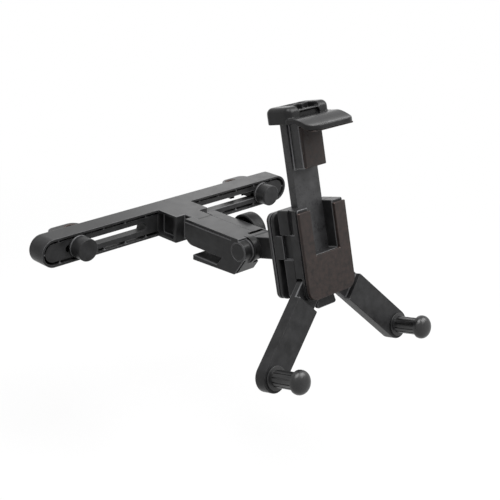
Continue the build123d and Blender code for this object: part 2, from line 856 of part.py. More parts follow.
def jaw_core():
    """Hollow in the top of the dome, split by a cross of two ribs, seen from above."""
    half = jaw_core_width / 2
    middle = (jaw_rear() + pad_front) / 2
    core = rounded_span(-half, half, jaw_rear() + 2 * jaw_skin, pad_front - jaw_shelf, jaw_skin)
    core -= span(-jaw_rib / 2, jaw_rib / 2, jaw_rear(), pad_front)
    return core - span(-half, half, middle - jaw_rib / 2, middle + jaw_rib / 2)


def jaw_front_cuts():
    """Low shelf in front of the hollow, and a scoop for a finger under the shelf."""
    half = jaw_core_width / 2
    shelf = jaw_top - jaw_notch
    notch = span(-half, half, shelf, jaw_top + edge_round)
    cuts = slab(notch, pad_front - jaw_shelf - jaw_skin, pad_front + edge_round)
    floor = jaw_bottom + jaw_dome_front / 2
    scoop = rounded_span(-half, half, floor, shelf - jaw_rib, jaw_skin)
    return cuts + slab(scoop, pad_front - jaw_scoop, pad_front + jaw_dome_front)


def make_top_jaw():
    """Jaw over the tablet's top edge: a cored dome that flows into a duck-bill lip."""
    jaw = jaw_dome() + duck_bill()
    jaw -= extrude(jaw_ceiling() * jaw_core(), amount=jaw_top - rail_top - jaw_skin)
    jaw -= jaw_front_cuts()
    rail_half = rail_width / 2 + slide_play
    socket = span(-rail_half, rail_half, jaw_bottom, rail_top + slide_play)
    jaw -= slab(socket, rail_rear - slide_play, rail_front + slide_play)
    for place in jaw_screw_places():
        jaw -= screw_room(place, jaw_rear(), rail_front + jaw_skin)
    save_holder("top_jaw", jaw)


def make_lip_pad():
    """Thin rubber strip under the lip."""
    half = lip_width / 2 - jaw_skin
    tip = pad_front + lip_reach - jaw_skin
    outline = rounded_span(-half, half, pad_front + jaw_dome_front + jaw_skin, tip, jaw_skin)
    upright = Plane(origin=(0, lip_bottom, 0), x_dir=(1, 0, 0), z_dir=(0, -1, 0))
    save_holder("lip_pad", extrude(upright * outline, amount=lip_pad_thick))


def make_jaw_screws():
    tip = rail_front + jaw_skin
    save_holder("jaw_screws", Compound([screw_solid(p, jaw_rear(), tip) for p in jaw_screw_places()]))


# Legs


def leg_frame(side, splay):
    """Place of a leg: its own Y runs from the pivot out along the leg."""
    return Pos(side * leg_pivot_out, -leg_pivot_down, 0) * Rot(0, 0, -side * (180 - splay))


def leg_solid():
    """Flat leg drawn upright: thin tongue about the pivot, thick bar beyond the root edge."""
    half = leg_width / 2
    length = leg_length
    tongue = Circle(half) + span(-half, half, 0, leg_root + edge_round)
    leg = slab(tongue, leg_rear, leg_rear + leg_tongue)
    bar = Pos(0, length) * Circle(half) + span(-half, half, leg_root, length)
    bar = slab(bar, leg_rear, leg_rear + leg_thick)
    leg += chamfer(bar.edges().group_by(Axis.Z)[-1], edge_round / 2)
    leg -= slab(Circle(leg_pin_radius + shaft_play), leg_rear, leg_rear + leg_tongue)
    hole = Pos(0, length) * Circle(small_screw_radius + shaft_play)
    leg -= slab(hole, leg_rear, leg_rear + leg_thick)
    head = Pos(0, length) * Circle(small_head_radius + slide_play)
    return leg - slab(head, leg_rear, leg_rear + small_head_thick)


def peg_solid():
    """Fluted rubber peg with a mushroom head, on a round collar."""
    base = leg_rear + leg_thick
    neck = base + peg_collar_thick
    head = neck + peg_length
    peg = slab(Circle(peg_collar_radius), base, neck)
    peg = chamfer(peg.edges().group_by(Axis.Z)[-1], edge_round / 2)
    stalk = Circle(peg_radius)
    for i in range(peg_grips):
        stalk -= Rot(0, 0, i * 360 / peg_grips) * Pos(peg_radius, 0) * RegularPolygon(edge_round / 2, 4)
    peg += slab(stalk, neck, head)
    cap = slab(Circle(peg_head_radius), head, head + peg_head_length)
    cap = fillet(cap.edges().group_by(Axis.Z)[-1], peg_head_length * 0.55)
    peg += fillet(cap.edges().group_by(Axis.Z)[0], 2 * edge_round)
    hole = Circle(small_screw_radius + shaft_play)
    return Pos(0, leg_length, 0) * (peg - slab(hole, base, neck + peg_length / 2))


def make_leg(name, side, splay):
    frame = leg_frame(side, splay)
    save_holder(f"{name}_leg", frame * leg_solid())
    save_holder(f"{name}_peg", frame * peg_solid())
    tip = leg_rear + leg_thick + peg_collar_thick + peg_length / 2 - edge_round
    save_holder(f"{name}_peg_screw", frame * screw_solid((0, leg_length), leg_rear, tip))


def make_leg_pins():
    pins = []
    for side in (-1, 1):
        pin = Pos(side * leg_pivot_out, -leg_pivot_down) * Circle(leg_pin_radius)
        pins.append(slab(pin, seam - leg_tongue + face_play, housing_front - front_wall / 2 - face_play))
    save_holder("leg_pins", Compound(pins))


os.makedirs("parts", exist_ok=True)
make_crossbar()
make_clamp("left", left_clamp_x, 1)
make_clamp("right", right_clamp_x, -1)
make_arm_left()
make_arm_right()
make_arm_bolt()
make_arm_knob()
make_knuckle()
make_swivel_hardware()
make_rear_plate()
make_clip_plate()
make_rear_housing()
make_brake_spring()
make_front_housing()
make_face_pad()
make_holder_screws()
make_slider_rail()
make_top_jaw()
make_lip_pad()
make_jaw_screws()
make_leg("left", -1, left_leg_angle)
make_leg("right", 1, right_leg_angle)
make_leg_pins()
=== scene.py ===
"""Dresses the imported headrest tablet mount: soft edges, rubber pads, turned knobs and pegs, finishes and a studio."""
import json
from math import atan2, cos, hypot, pi, radians, sin

import bmesh
import bpy
from bpy.props import FloatProperty, FloatVectorProperty, IntProperty, PointerProperty
from mathutils import Matrix, Vector
from mathutils.bvhtree import BVHTree
from mathutils.geometry import intersect_point_line


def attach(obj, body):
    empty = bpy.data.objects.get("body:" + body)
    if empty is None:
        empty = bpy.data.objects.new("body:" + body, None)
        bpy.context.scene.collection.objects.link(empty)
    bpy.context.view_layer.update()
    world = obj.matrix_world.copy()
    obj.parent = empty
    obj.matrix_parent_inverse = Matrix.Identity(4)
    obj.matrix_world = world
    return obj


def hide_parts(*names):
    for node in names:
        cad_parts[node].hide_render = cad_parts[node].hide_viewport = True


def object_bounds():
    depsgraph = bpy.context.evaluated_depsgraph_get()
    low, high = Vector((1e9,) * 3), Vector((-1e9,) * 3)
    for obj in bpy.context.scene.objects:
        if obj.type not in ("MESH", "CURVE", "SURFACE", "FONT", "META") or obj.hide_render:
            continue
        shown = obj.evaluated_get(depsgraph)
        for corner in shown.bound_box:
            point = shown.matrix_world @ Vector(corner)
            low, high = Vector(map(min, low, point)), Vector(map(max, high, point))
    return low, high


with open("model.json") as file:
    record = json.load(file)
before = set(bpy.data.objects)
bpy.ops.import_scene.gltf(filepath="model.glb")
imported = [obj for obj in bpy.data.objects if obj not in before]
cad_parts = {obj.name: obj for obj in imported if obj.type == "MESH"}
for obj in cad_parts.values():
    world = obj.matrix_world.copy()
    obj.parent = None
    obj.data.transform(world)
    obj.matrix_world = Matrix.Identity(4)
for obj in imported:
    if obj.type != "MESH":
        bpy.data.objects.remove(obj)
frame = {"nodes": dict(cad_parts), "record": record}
CAD_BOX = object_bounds()

bl_info = {
    "name": "Headrest tablet mount",
    "version": (1, 0, 0),
    "blender": (4, 5, 0),
    "location": "View3D > Sidebar > Tablet mount",
    "description": "Dresses the solids of a headrest tablet mount and sets up its studio",
    "category": "Object",
}

MM = 0.001
SIDES = ("left", "right")

# Rounding of edges. Points closer than the weld gap are one point, and faces nearly in one plane are one face.
WELD_GAP = 0.002 * MM
FLAT = radians(0.4)
# Edges that meet at more than this angle run on as one edge.
STRAIGHT = radians(145)
# Share of the room beside an edge that its rounding may take, and the room of an edge with nothing beside it.
ROOM_SHARE = 0.46
WIDE = 1.0
# How often an edge whose rounding went astray is eased, and by how much each time.
TRIALS = 9
EASE = 0.5
# A rounding is astray where it leaves the solid's skin by this share of its width, or faces the other way.
ASTRAY_POINT = 0.8
ASTRAY_FACE = 0.6
TURNED_OVER = -0.2
TINY_FACE = 0.004 * MM * MM
# Beyond this many stray points only every ninth is looked at.
MANY = 400
THIN_OUT = 9
# Slot that the Bevel gives to the faces it makes, the attribute they get, and how far and how much paler they are
# painted: edge wear and a painted highlight along every rounded edge. Scuffs use the same paler colour.
EDGE_SLOT = 1
EDGE_MARK = "edge_wear"
EDGE_WEAR_AND_HIGHLIGHT = 0.8
PALER_WEAR_AND_HIGHLIGHT = 6

# Angles from which on an edge is rounded, and an edge of a rounded or a turned piece is shaded as sharp.
SHARP_EDGE = radians(50)
SHARP_SOFT = radians(48)
SHARP_TURNED = radians(35)

# Sockets of a Mix node that mixes colours.
MIX_SHARE, MIX_FIRST, MIX_SECOND, MIX_RESULT = 0, 6, 7, 2

# The holder leans back; its own axes run across, up the face and out of the face.
LEAN = radians(13.93)
HOLDER_OUT = Vector((0.0, -cos(LEAN), sin(LEAN)))
HOLDER_UP = Vector((0.0, sin(LEAN), cos(LEAN)))
HOLDER_ORIGIN = Vector((8.5, -118.2593, -0.55)) * MM

# Turned outlines, as radius and height in millimetres, and where their pieces stand.
KNOB_AXIS = Vector((0, -89.35, 1.1)) * MM
KNOB_RADIUS = 15.0
KNOB_OUTLINE = (
    (0, 29), (2.6, 29), (2.6, 22.2), (4.8, 22.2), (4.8, 18.2), (5.8, 18.1), (6, 18.3), (6, 28.6), (6.4, 29),
    (12.4, 29), (12.9, 28.6), (13, 28), (13, 20), (13.2, 19.6), (13.6, 19.5), (14.5, 19.5), (14.85, 19.65),
    (KNOB_RADIUS, 20), (KNOB_RADIUS, 29.8), (14.9, 30.4), (14.6, 30.8), (14, 31), (0, 31))
KNOB_RIB_WIDTH = 0.5
KNOB_RIB_DEPTH = 0.35
LEG_PIVOT = {"left": (-19.0, -27.0), "right": (19.0, -27.0)}
LEG_ANGLE = {"left": radians(-45.5), "right": radians(45.0)}
LEG_LENGTH = 72.0
PEG_BASE = 73.2
PEG_STALK = 6.7
PEG_HEAD = 9.25
PEG_CROWN = 24.3
PEG_TOP = 30.3
PEG_FLUTE_WIDTH = 0.34
PEG_FLUTE_DEPTH = 0.5
# The head's round is fuller than a quarter circle: powers of its radius and of its height.
CROWN_STEPS = 12
CROWN_OUT = 0.8
CROWN_UP = 0.85
PEG_FOOT = (
    (0, 12), (1.5, 12), (1.5, 0), (9.2, 0), (9.4, 0.2), (9.4, 1.1), (9.25, 1.45), (8.9, 1.6), (7.3, 1.6),
    (6.85, 1.75), (PEG_STALK, 2.2), (PEG_STALK, 21.6), (6.9, 22.1), (7.6, 22.4), (8.5, 22.6), (9.05, 23.1))
# Side view of the jaw's lip in the holder's axes, in millimetres: depth and height of the solid, and for the
# softened piece its level height, its height at the tip, and the depths between which it dips.
LIP_SOLID_UPPER = ((75.3, 104), (79.3, 99.5), (99.8, 98.5))
LIP_SOLID_LOWER = ((72.7, 100), (79.3, 95), (99.8, 95))
LIP_UPPER = (103.8, 98.6, 81, 98)
LIP_LOWER = (100.5, 95, 79, 97)
LIP_ROOT = 75.3
LIP_SKIN = 0.2
# Width of a screw head, and length, width and depth of a blade of its cross recess.
SCREW_HEAD = 5.2 * MM
CROSS_BLADE = Vector((2.8, 0.7, 1.9)) * MM
# Steps of a turned piece to one of its grooves, and what counts as an upright face at a groove's radius.
KNOB_STEPS = 2
PEG_STEPS = 6
UPRIGHT = 0.02
NEAR_RADIUS = 0.05
GROOVE_SLOPE = 0.3

# The floor lies below the lowest swing of the arm. It bounces less light than it shows, and its shading fades
# away between two distances from its middle.
FLOOR_DROP = 104 * MM
FLOOR_RADIUS = 6
FLOOR_SIDES = 96
WHITE = (1, 1, 1)
FLOOR_BOUNCE = 0.35
FLOOR_SEEN = 0.93
FLOOR_FADE = (0.2, 0.7)
# Soft lights by the setting of their power: place, width and height in metres. They look at one point.
LAMPS = {
    "top_light": ((-0.2, -0.3, 1.1), 0.8, 0.8),
    "edge_light": ((0.7, -0.8, 0.9), 0.9, 0.9),
    "rim_light": ((0.8, 0.75, 0.62), 0.3, 0.75),
}
LAMP_AIM = Vector((0, -0.1, 0.02))
SENSOR_WIDTH = 36


class MountFinish(bpy.types.PropertyGroup):
    """Colours and surface of the mount's materials."""

    body_colour: FloatVectorProperty(
        name="Body colour", description="Black of the satin mouldings",
        subtype="COLOR", size=3, min=0, max=1, default=(0.0255, 0.0255, 0.0263))
    # The rail's paler black is a painted sheen, a lit copy of the body's black; it is not paler from rubbing.
    rail_sheen_colour: FloatVectorProperty(
        name="Rail colour", description="Black of the rail, rubbed paler by sliding",
        subtype="COLOR", size=3, min=0, max=1, default=(0.046, 0.046, 0.0475))
    gloss_colour: FloatVectorProperty(
        name="Gloss colour", description="Black of the polished top jaw and pegs",
        subtype="COLOR", size=3, min=0, max=1, default=(0.012, 0.012, 0.0125))
    pad_colour: FloatVectorProperty(
        name="Pad colour", description="Warm grey of the rubber pads",
        subtype="COLOR", size=3, min=0, max=1, default=(0.021, 0.0148, 0.0132))
    steel_colour: FloatVectorProperty(
        name="Steel colour", description="Plated screws, nuts and pins",
        subtype="COLOR", size=3, min=0, max=1, default=(0.46, 0.46, 0.47))
    grain_size: FloatProperty(
        name="Grain", description="Grains of the moulding skin per metre", min=100, max=9000, default=2600)


class MountEdges(bpy.types.PropertyGroup):
    """How far the edges of the mouldings are rounded."""

    body_edge: FloatProperty(
        name="Body edge", description="Edge round of the mouldings",
        subtype="DISTANCE", unit="LENGTH", min=0, max=0.003, default=0.0008)
    jaw_fine: FloatProperty(
        name="Jaw mesh", description="Mesh size of the polished top jaw",
        subtype="DISTANCE", unit="LENGTH", min=0.0002, max=0.002, default=0.00036)
    jaw_passes: IntProperty(
        name="Jaw softening", description="Smoothing passes over the polished top jaw", min=0, max=60, default=28)
    strip_passes: IntProperty(
        name="Strip softening", description="Smoothing passes over the lip's rubber strip", min=0, max=60, default=3)
    pad_edge: FloatProperty(
        name="Pad edge", description="Edge round of the rubber pads",
        subtype="DISTANCE", unit="LENGTH", min=0, max=0.003, default=0.0006)
    metal_edge: FloatProperty(
        name="Metal edge", description="Edge break of the screws and nuts",
        subtype="DISTANCE", unit="LENGTH", min=0, max=0.001, default=0.00012)
    knob_ribs: IntProperty(
        name="Knob ribs", description="Fine grip ribs round the arm's knob", min=12, max=240, default=96)
    peg_flutes: IntProperty(
        name="Peg flutes", description="Grip flutes round each peg", min=4, max=24, default=12)


class MountStudio(bpy.types.PropertyGroup):
    """Camera and light."""

    lens: FloatProperty(name="Lens", description="Focal length in millimetres", min=10, max=300, default=83.5)
    camera_place: FloatVectorProperty(
        name="Camera", description="Where the camera stands",
        subtype="TRANSLATION", unit="LENGTH", size=3, default=(-0.607, -0.72345, 0.3381))
    camera_heading: FloatProperty(
        name="Heading", description="Turn of the camera from straight ahead to the right",
        subtype="ANGLE", default=radians(44.99))
    camera_dip: FloatProperty(
        name="Dip", description="How far the camera looks down", subtype="ANGLE", default=radians(21.58))
    camera_roll: FloatProperty(
        name="Roll", description="Tilt of the frame", subtype="ANGLE", default=radians(1.51))
    sky: FloatProperty(name="Sky", description="Strength of the even light all round", min=0, max=2, default=0.2)
    top_light: FloatProperty(
        name="Top light", description="Softbox overhead, in watts", unit="POWER", min=0, max=200, default=13)
    edge_light: FloatProperty(
        name="Edge light", description="Softbox in front on the right that picks out edges, in watts",
        unit="POWER", min=0, max=200, default=16)
    rim_light: FloatProperty(
        name="Rim light", description="Softbox behind on the right that lies as a sheen on flat tops, in watts",
        unit="POWER", min=0, max=200, default=1)
    floor_shade: FloatProperty(
        name="Floor shade", description="Share of the floor's own shading that shows", min=0, max=1, default=0.16)


def settings():
    """The three groups of settings of the open scene."""
    scene = bpy.context.scene
    return scene.mount_finish, scene.mount_edges, scene.mount_studio


def holder_matrix(across, up, out):
    """Place of a point of the holder, in millimetres of its own axes, with local Z out of the face."""
    spot = HOLDER_ORIGIN + Vector((across * MM, 0, 0)) + HOLDER_UP * (up * MM) + HOLDER_OUT * (out * MM)
    turn = Matrix(((1, HOLDER_UP.x, HOLDER_OUT.x), (0, HOLDER_UP.y, HOLDER_OUT.y), (0, HOLDER_UP.z, HOLDER_OUT.z)))
    return Matrix.Translation(spot) @ turn.to_4x4()


def new_socket(group, name, way, kind, default=None):
    """A named socket of a node group."""
    socket = group.interface.new_socket(name=name, in_out=way, socket_type=kind)
    if default is not None:
        socket.default_value = default


def add_node(tree, kind, **values):
    """A node with the given attributes, and inputs given by name in a dict called inputs."""
    node = tree.nodes.new(kind)
    for name, value in values.pop("inputs", {}).items():
        node.inputs[name].default_value = value
    for name, value in values.items():
        setattr(node, name, value)
    return node


def toned(colour, share):
    """A colour made darker or paler, for a colour socket."""
    return (*(share * part for part in colour), 1)


def skin_group():
    """Moulded skin: height of the grain, a slow drift of tone and thin scuffs, all over Object coordinates."""
    group = bpy.data.node_groups.get("moulded_skin")
    if group:
        return group
    group = bpy.data.node_groups.new("moulded_skin", "ShaderNodeTree")
    new_socket(group, "Vector", "INPUT", "NodeSocketVector")
    new_socket(group, "Grain", "INPUT", "NodeSocketFloat", 2600.0)
    new_socket(group, "Drift Size", "INPUT", "NodeSocketFloat", 45.0)
    new_socket(group, "Scuff Size", "INPUT", "NodeSocketFloat", 160.0)
    for name in ("Height", "Drift", "Scuff"):
        new_socket(group, name, "OUTPUT", "NodeSocketFloat")
    source = add_node(group, "NodeGroupInput")
    sink = add_node(group, "NodeGroupOutput")
    grain = add_node(group, "ShaderNodeTexNoise", inputs={"Detail": 2.0, "Roughness": 0.55})
    drift = add_node(group, "ShaderNodeTexNoise", inputs={"Detail": 4.0, "Roughness": 0.6})
    stretch = add_node(group, "ShaderNodeMapping", inputs={"Rotation": (0.5, 0.3, 0.8), "Scale": (1.0, 0.12, 1.0)})
    scuff = add_node(group, "ShaderNodeTexNoise", inputs={"Detail": 5.0, "Roughness": 0.65})
    cut = add_node(group, "ShaderNodeMapRange", inputs={"From Min": 0.6, "From Max": 0.78})
    spread = add_node(group, "ShaderNodeMapRange", inputs={"From Min": 0.32, "From Max": 0.68})
    link = group.links.new
    for texture, size in ((grain, "Grain"), (drift, "Drift Size")):
        link(source.outputs["Vector"], texture.inputs["Vector"])
        link(source.outputs[size], texture.inputs["Scale"])
    link(source.outputs["Vector"], stretch.inputs["Vector"])
    link(stretch.outputs["Vector"], scuff.inputs["Vector"])
    link(source.outputs["Scuff Size"], scuff.inputs["Scale"])
    link(scuff.outputs["Fac"], cut.inputs["Value"])
    link(drift.outputs["Fac"], spread.inputs["Value"])
    link(grain.outputs["Fac"], sink.inputs["Height"])
    link(spread.outputs["Result"], sink.inputs["Drift"])
    link(cut.outputs["Result"], sink.inputs["Scuff"])
    return group


def moulding(name, colour, rough, grain, relief, scuffs, shine, drift=120.0, spread=0.3):
    """A moulded plastic or rubber: grain in the normal, drifting tone and gloss, pale thin scuffs, and rounded edges
    painted paler as wear and as a painted highlight.
    """
    made = bpy.data.materials.get(name)
    if made:
        return made
    made = bpy.data.materials.new(name)
    made.use_nodes = True
    tree = made.node_tree
    link = tree.links.new
    shader = tree.nodes["Principled BSDF"]
    shader.inputs["Specular IOR Level"].default_value = shine
    place = add_node(tree, "ShaderNodeTexCoord")
    skin = add_node(tree, "ShaderNodeGroup", node_tree=skin_group())
    skin.inputs["Grain"].default_value = grain
    skin.inputs["Drift Size"].default_value = drift
    low, high = rough
    gloss = add_node(tree, "ShaderNodeMapRange", inputs={"To Min": low, "To Max": high})
    tone = add_node(tree, "ShaderNodeMix", data_type="RGBA")
    tone.inputs[MIX_FIRST].default_value = toned(colour, 1 - spread)
    tone.inputs[MIX_SECOND].default_value = toned(colour, 1 + spread)
    # Scuffs and rounded edges are mixed towards a much paler copy of the colour; on the edges this is wear and a
    # painted highlight.
    worn_and_highlit = add_node(tree, "ShaderNodeMix", data_type="RGBA")
    worn_and_highlit.inputs[MIX_SECOND].default_value = toned(colour, PALER_WEAR_AND_HIGHLIGHT)
    share = add_node(tree, "ShaderNodeMath", operation="MULTIPLY")
    share.inputs[1].default_value = scuffs
    edges = add_node(tree, "ShaderNodeAttribute", attribute_name=EDGE_MARK)
    worn_and_highlit_edges = add_node(tree, "ShaderNodeMath", operation="MULTIPLY")
    worn_and_highlit_edges.inputs[1].default_value = EDGE_WEAR_AND_HIGHLIGHT
    wear_and_highlight = add_node(tree, "ShaderNodeMath", operation="MAXIMUM")
    bump = add_node(tree, "ShaderNodeBump", inputs={"Strength": 1.0, "Distance": relief})
    link(place.outputs["Object"], skin.inputs["Vector"])
    link(skin.outputs["Drift"], gloss.inputs["Value"])
    link(skin.outputs["Drift"], tone.inputs[MIX_SHARE])
    link(skin.outputs["Scuff"], share.inputs[0])
    link(edges.outputs["Fac"], worn_and_highlit_edges.inputs[0])
    link(share.outputs[0], wear_and_highlight.inputs[0])
    link(worn_and_highlit_edges.outputs[0], wear_and_highlight.inputs[1])
    link(wear_and_highlight.outputs[0], worn_and_highlit.inputs[MIX_SHARE])
    link(tone.outputs[MIX_RESULT], worn_and_highlit.inputs[MIX_FIRST])
    link(skin.outputs["Height"], bump.inputs["Height"])
    link(worn_and_highlit.outputs[MIX_RESULT], shader.inputs["Base Color"])
    link(gloss.outputs["Result"], shader.inputs["Roughness"])
    link(bump.outputs["Normal"], shader.inputs["Normal"])
    return made


def plated_steel(name, colour):
    """Zinc plated steel with drawn streaks."""
    made = bpy.data.materials.get(name)
    if made:
        return made
    made = bpy.data.materials.new(name)
    made.use_nodes = True
    tree = made.node_tree
    link = tree.links.new
    shader = tree.nodes["Principled BSDF"]
    shader.inputs["Metallic"].default_value = 1.0
    place = add_node(tree, "ShaderNodeTexCoord")
    streak = add_node(tree, "ShaderNodeMapping", inputs={"Scale": (1.0, 0.08, 1.0)})
    drawn = add_node(tree, "ShaderNodeTexNoise", inputs={"Scale": 2400.0, "Detail": 3.0})
    gloss = add_node(tree, "ShaderNodeMapRange", inputs={"To Min": 0.24, "To Max": 0.46})
    tone = add_node(tree, "ShaderNodeMix", data_type="RGBA")
    tone.inputs[MIX_FIRST].default_value = toned(colour, 0.8)
    tone.inputs[MIX_SECOND].default_value = toned(colour, 1.15)
    link(place.outputs["Object"], streak.inputs["Vector"])
    link(streak.outputs["Vector"], drawn.inputs["Vector"])
    link(drawn.outputs["Fac"], gloss.inputs["Value"])
    link(drawn.outputs["Fac"], tone.inputs[MIX_SHARE])
    link(tone.outputs[MIX_RESULT], shader.inputs["Base Color"])
    link(gloss.outputs["Result"], shader.inputs["Roughness"])
    return made


def finishes():
    """The mount's materials by the record's slots, and one more for the rail, painted paler as a painted sheen on its
    front.
    """
    look = settings()[0]
    grain = look.grain_size
    return {
        "body_plastic": moulding(
            "satin_black", look.body_colour, (0.28, 0.38), grain, relief=0.015 * MM, scuffs=0.07, shine=0.15),
        # Painted sheen: the rail's lit, paler copy of the satin black.
        "sheen_painted_rail": moulding(
            "rubbed_black", look.rail_sheen_colour, (0.24, 0.36), grain, relief=0.01 * MM, scuffs=0.05, shine=0.3),
        "knob_plastic": moulding(
            "matte_black", look.body_colour, (0.32, 0.42), grain * 0.8, relief=0.03 * MM, scuffs=0.07, shine=0.15),
        "gloss_plastic": moulding(
            "polished_black", look.gloss_colour, (0.26, 0.34), grain, relief=0.001 * MM, scuffs=0.03, shine=0.2),
        "peg_plastic": moulding(
            "semi_gloss_black", look.gloss_colour, (0.26, 0.34), grain, relief=0.003 * MM, scuffs=0.03, shine=0.45),
        "pad_rubber": moulding(
            "mottled_rubber", look.pad_colour, (0.44, 0.7), grain * 0.5, relief=0.06 * MM, scuffs=0.1, shine=0.25,
            drift=300.0, spread=0.55),
        "steel": plated_steel("plated_steel", look.steel_colour),
    }


def slot_of(node):
    """The record's material slot of a solid."""
    return next(part["material_slot"] for part in frame["record"]["subparts"] if part["node"] == node)


def body_of(node):
    """The body that a solid rides on."""
    bodies = frame["record"]["behaviour"]["bodies"]
    return next(body for body, members in bodies.items() if node in members)


def pick(piece):
    """Makes a piece the only selected object and the active one."""
    bpy.ops.object.select_all(action="DESELECT")
    piece.select_set(True)
    bpy.context.view_layer.objects.active = piece


def paint(piece, slot):
    """Gives a piece the finish of a material slot as its only material."""
    piece.data.materials.clear()
    piece.data.materials.append(finishes()[slot])


def merged_copy(node):
    """A new object with a solid's faces, welded and with flat faces joined."""
    piece = bpy.data.objects.new(node + "_soft", frame["nodes"][node].data.copy())
    piece.data.materials.append(None)
    bpy.context.scene.collection.objects.link(piece)
    pick(piece)
    bpy.ops.mesh.customdata_custom_splitnormals_clear()
    bpy.ops.object.mode_set(mode="EDIT")
    bpy.ops.mesh.select_all(action="SELECT")
    bpy.ops.mesh.remove_doubles(threshold=WELD_GAP)
    bpy.ops.mesh.dissolve_limited(angle_limit=FLAT)
    bpy.ops.object.mode_set(mode="OBJECT")
    return piece


def room_beside(edge):
    """Shortest way from the middle of an edge across its faces to their other edges."""
    start, end = (vertex.co for vertex in edge.verts)
    middle, along = (start + end) / 2, (end - start).normalized()
    room = WIDE
    for face in edge.link_faces:
        inward = face.normal.cross(along)
        if inward.dot(face.calc_center_median() - middle) < 0 and len(face.verts) < 5:
            inward.negate()
        for other in face.edges:
            if other is edge:
                continue
            near, far = (vertex.co - middle for vertex in other.verts)
            low, high = near.dot(along), far.dot(along)
            if low * high > 0 or abs(high - low) < WELD_GAP:
                continue
            way = near.dot(inward) + (far - near).dot(inward) * low / (low - high)
            room = min(room, abs(way) if abs(way) > WELD_GAP else WIDE)
    return room


def edge_chains(mesh):
    """Runs of sharp edges that go on smoothly from one to the next."""
    sharp = {edge for edge in mesh.edges if edge.is_manifold and edge.calc_face_angle(0) > SHARP_EDGE}
    following = {}
    for vertex in mesh.verts:
        pair = [edge for edge in vertex.link_edges if edge in sharp]
        if len(pair) == 2:
            first, second = (edge.other_vert(vertex).co - vertex.co for edge in pair)
            if first.angle(second, 0) > STRAIGHT:
                following.setdefault(pair[0], []).append(pair[1])
                following.setdefault(pair[1], []).append(pair[0])
    chains, seen = [], set()
    for edge in sorted(sharp, key=lambda item: item.index):
        chain, waiting = [], [edge]
        while waiting:
            link = waiting.pop()
            if link not in seen:
                seen.add(link)
                chain.append(link)
                waiting += following.get(link, [])
        if chain:
            chains.append(chain)
    return chains


def weigh_edges(piece, width):
    """Sets how far each run of sharp edges can be rounded, as its bevel weight, and lists the runs."""
    mesh = bmesh.new()
    mesh.from_mesh(piece.data)
    layer = mesh.edges.layers.float.new("bevel_weight_edge")
    chains = edge_chains(mesh)
    for chain in chains:
        room = min(min(room_beside(edge) for edge in chain), sum(edge.calc_length() for edge in chain))
        for edge in chain:
            edge[layer] = min(1, ROOM_SHARE * room / width)
    runs = [[edge.index for edge in chain] for chain in chains]
    mesh.to_mesh(piece.data)
    mesh.free()
    return runs


def ease_edges(plain, runs, spots, reach):
    """Halves the bevel weight of each run of edges that passes near one of the spots."""
    weights = plain.attributes["bevel_weight_edge"].data
    points = [vertex.co for vertex in plain.vertices]
    for run in runs:
        ends = [[points[i] for i in plain.edges[edge].vertices] for edge in run]
        if any(gap_to_edge(spot, *pair) < reach for pair in ends for spot in spots):
            for edge in run:
                weights[edge].value *= EASE


def gap_to_edge(spot, start, end):
    """Distance from a spot to an edge."""
    share = max(0, min(1, intersect_point_line(spot, start, end)[1]))
    return (spot - start.lerp(end, share)).length


def round_edges(piece, width, segments, clamp):
    """Rounds the weighted edges of a piece with an applied Bevel."""
    pick(piece)
    bpy.ops.object.modifier_add(type="BEVEL")
    rounding = piece.modifiers[-1]
    rounding.width = width
    rounding.segments = segments
    rounding.limit_method = "WEIGHT"
    rounding.material = EDGE_SLOT
    rounding.use_clamp_overlap = clamp
    bpy.ops.object.modifier_apply(modifier=rounding.name)


def stray_spots(mesh, skin, width):
    """Points of a rounded mesh beside faces that left the skin it was made from, or turned over."""
    points = [vertex.co.copy() for vertex in mesh.vertices]
    wild = {i for i, point in enumerate(points) if skin.find_nearest(point)[3] > ASTRAY_POINT * width}
    spots = set()
    for face in mesh.polygons:
        corners = set(face.vertices)
        if corners & wild:
            spots |= corners - wild
        elif len(corners) < 5 and face.area > TINY_FACE:
            _, normal, _, gap = skin.find_nearest(face.center)
            if gap > ASTRAY_FACE * width or face.normal.dot(normal) < TURNED_OVER:
                spots |= corners
    step = 1 if len(spots) < MANY else THIN_OUT
    return [points[i] for i in sorted(spots)[::step]]


def soft_copy(node, edge, segments=3):
    """A merged copy of a solid with its sharp edges rounded as far as they go, standing for the solid."""
    piece = merged_copy(node)
    runs = weigh_edges(piece, edge)
    plain = piece.data.copy()
    skin = BVHTree.FromPolygons([v.co for v in plain.vertices], [f.vertices[:] for f in plain.polygons])
    for _ in range(TRIALS):
        round_edges(piece, edge, segments, False)
        spots = stray_spots(piece.data, skin, edge)
        if not spots:
            break
        ease_edges(plain, runs, spots, edge)
        piece.data = plain.copy()
    else:
        round_edges(piece, edge, segments, True)
    bpy.data.meshes.remove(plain)
    # Marks the faces the Bevel made, which the materials paint paler: edge wear and a painted highlight.
    rounded = [float(face.material_index == EDGE_SLOT) for face in piece.data.polygons]
    piece.data.attributes.new(EDGE_MARK, "FLOAT", "FACE").data.foreach_set("value", rounded)
    bpy.ops.object.shade_smooth_by_angle(angle=SHARP_SOFT)
    bpy.ops.object.modifier_add(type="WEIGHTED_NORMAL")
    evened = piece.modifiers[-1]
    evened.keep_sharp = True
    bpy.ops.object.modifier_apply(modifier=evened.name)
    seat(piece, body_of(node), slot_of(node), node)
    return piece


def height_along(line, depth):
    """Height of a side view's broken line at a depth."""
    for (near, first), (far, last) in zip(line, line[1:]):
        if depth <= far:
            return first + (last - first) * max(0, depth - near) / (far - near)
    return line[-1][1]


def dipped(depth, level, tip, start, end):
    """Height of a line that runs level and then dips smoothly to the lip's tip."""
    share = max(0, min(1, (depth - start) / (end - start)))
    return level + (tip - level) * share * share * (3 - 2 * share)


